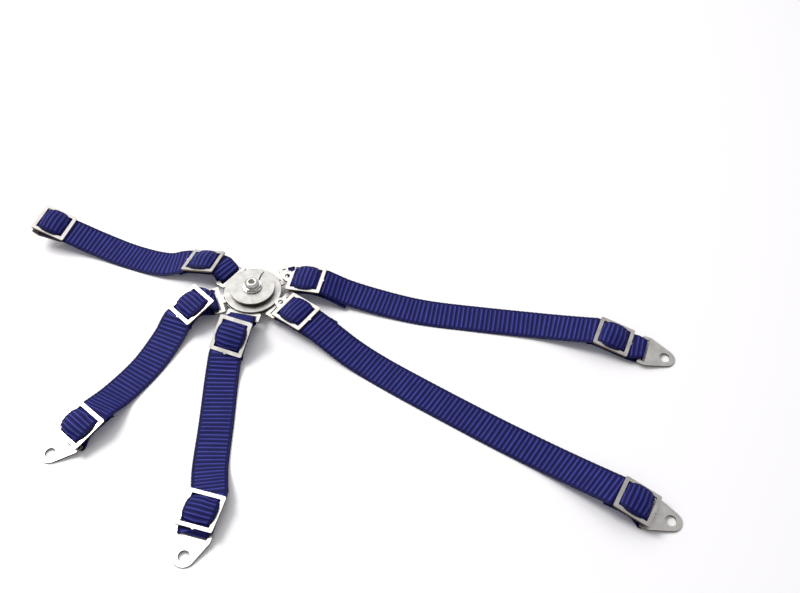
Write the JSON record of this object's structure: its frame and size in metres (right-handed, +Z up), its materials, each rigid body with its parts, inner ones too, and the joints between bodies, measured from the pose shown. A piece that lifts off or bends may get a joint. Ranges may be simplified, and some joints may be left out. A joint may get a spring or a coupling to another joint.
{
  "type": "racing harness",
  "caption": "Scale-model car harness: ribbon straps with metal slider buckles and screw-down anchor plates meet at a round hub with a turning release disc.",
  "frame": {"origin": "on the surface the harness lies on, under the hub's screw axis", "axes": "+Z up off the wearer's chest, +X from the hub towards the shoulder straps, +Y towards the wearer's right"},
  "size_m": [0.1406, 0.087, 0.0063],
  "materials": {
    "ribbon": "navy grosgrain ribbon with cross ribs and a woven edge",
    "plate_steel": "bright etched stainless sheet",
    "hub_steel": "brushed stainless discs",
    "screw_steel": "machined steel screw, nut and washers"
  },
  "bodies": {
    "hub": {"hub_base_plate": "hub_steel", "hub_face_plate": "hub_steel", "hub_sleeve": "screw_steel", "hub_bush": "screw_steel", "hub_washer": "screw_steel", "hub_screw": "screw_steel", "hub_nut": "screw_steel"},
    "release_disc": {"release_disc": "hub_steel"},
    "shoulder_right_latch": {"shoulder_right_latch": "plate_steel"},
    "shoulder_right_strap": {"shoulder_right_hub_buckle": "plate_steel", "shoulder_right_ribbon": "ribbon", "shoulder_right_end_buckle": "plate_steel"},
    "shoulder_right_anchor": {"shoulder_right_anchor": "plate_steel"},
    "shoulder_left_latch": {"shoulder_left_latch": "plate_steel"},
    "shoulder_left_strap": {"shoulder_left_hub_buckle": "plate_steel", "shoulder_left_ribbon": "ribbon", "shoulder_left_end_buckle": "plate_steel"},
    "shoulder_left_anchor": {"shoulder_left_anchor": "plate_steel"},
    "lap_right_latch": {"lap_right_latch": "plate_steel"},
    "lap_right_strap": {"lap_right_hub_buckle": "plate_steel", "lap_right_ribbon": "ribbon", "lap_right_end_buckle": "plate_steel"},
    "lap_right_anchor": {"lap_right_anchor": "plate_steel"},
    "crotch_latch": {"crotch_latch": "plate_steel"},
    "crotch_strap": {"crotch_hub_buckle": "plate_steel", "crotch_ribbon": "ribbon", "crotch_end_buckle": "plate_steel"},
    "crotch_anchor": {"crotch_anchor": "plate_steel"},
    "lap_left_latch": {"lap_left_latch": "plate_steel"},
    "lap_left_strap": {"lap_left_hub_buckle": "plate_steel", "lap_left_ribbon": "ribbon", "lap_left_end_buckle": "plate_steel"},
    "lap_left_anchor": {"lap_left_anchor": "plate_steel"}
  },
  "joints": [
    {"name": "release_disc_turn", "type": "hinge", "parent": "hub", "child": "release_disc", "pos_m": [0, 0, 0.00388], "axis": [0, 0, 1], "range_deg": [-60, 60]},
    {"name": "shoulder_right_swivel", "type": "hinge", "parent": "hub", "child": "shoulder_right_latch", "pos_m": [0.00398, 0.0023, 0.0023], "axis": [0, 0, 1], "range_deg": [-3, 15]},
    {"name": "shoulder_right_lift", "type": "hinge", "parent": "shoulder_right_latch", "child": "shoulder_right_strap", "pos_m": [0.0082, 0.0042, 0.0023], "axis": [0.4108, -0.9117, 0], "range_deg": [-30, 8]},
    {"name": "shoulder_right_anchor_turn", "type": "hinge", "parent": "shoulder_right_strap", "child": "shoulder_right_anchor", "pos_m": [0.08243, -0.01479, 0.00105], "axis": [-0.342, -0.9397, 0], "range_deg": [-60, 60]},
    {"name": "shoulder_left_swivel", "type": "hinge", "parent": "hub", "child": "shoulder_left_latch", "pos_m": [0.00398, -0.0023, 0.0023], "axis": [0, 0, 1], "range_deg": [-15, 3]},
    {"name": "shoulder_left_lift", "type": "hinge", "parent": "shoulder_left_latch", "child": "shoulder_left_strap", "pos_m": [0.0069, -0.0044, 0.0023], "axis": [-0.5844, -0.8115, 0], "range_deg": [-30, 8]},
    {"name": "shoulder_left_anchor_turn", "type": "hinge", "parent": "shoulder_left_strap", "child": "shoulder_left_anchor", "pos_m": [0.07767, -0.05257, 0.00105], "axis": [-0.3746, -0.9272, 0], "range_deg": [-60, 10]},
    {"name": "lap_right_swivel", "type": "hinge", "parent": "hub", "child": "lap_right_latch", "pos_m": [-0.00331, 0.0032, 0.0023], "axis": [0, 0, 1], "range_deg": [-12, 4]},
    {"name": "lap_right_lift", "type": "hinge", "parent": "lap_right_latch", "child": "lap_right_strap", "pos_m": [-0.0059, 0.0052, 0.0023], "axis": [0.6119, 0.7909, 0], "range_deg": [-30, 40]},
    {"name": "lap_right_anchor_turn", "type": "hinge", "parent": "lap_right_strap", "child": "lap_right_anchor", "pos_m": [-0.04965, 0.01959, 0.00455], "axis": [0.2924, 0.9563, 0], "range_deg": [0, 140]},
    {"name": "crotch_swivel", "type": "hinge", "parent": "hub", "child": "crotch_latch", "pos_m": [-0.0044, -0.00134, 0.0023], "axis": [0, 0, 1], "range_deg": [-3, 2]},
    {"name": "crotch_lift", "type": "hinge", "parent": "crotch_latch", "child": "crotch_strap", "pos_m": [-0.00845, -0.00275, 0.0023], "axis": [-0.3277, 0.9448, 0], "range_deg": [-30, 60]},
    {"name": "crotch_anchor_turn", "type": "hinge", "parent": "crotch_strap", "child": "crotch_anchor", "pos_m": [-0.03261, -0.03626, 0.00105], "axis": [-0.6947, 0.7193, 0], "range_deg": [-60, 30]},
    {"name": "lap_left_swivel", "type": "hinge", "parent": "hub", "child": "lap_left_latch", "pos_m": [-0.00103, -0.00448, 0.0023], "axis": [0, 0, 1], "range_deg": [-1, 15]},
    {"name": "lap_left_lift", "type": "hinge", "parent": "lap_left_latch", "child": "lap_left_strap", "pos_m": [-0.0017, -0.0075, 0.0023], "axis": [-0.9766, 0.2153, 0], "range_deg": [-30, 40]},
    {"name": "lap_left_anchor_turn", "type": "hinge", "parent": "lap_left_strap", "child": "lap_left_anchor", "pos_m": [-0.00599, -0.05686, 0.00105], "axis": [-0.9613, 0.2756, 0], "range_deg": [-60, 60]}
  ]
}
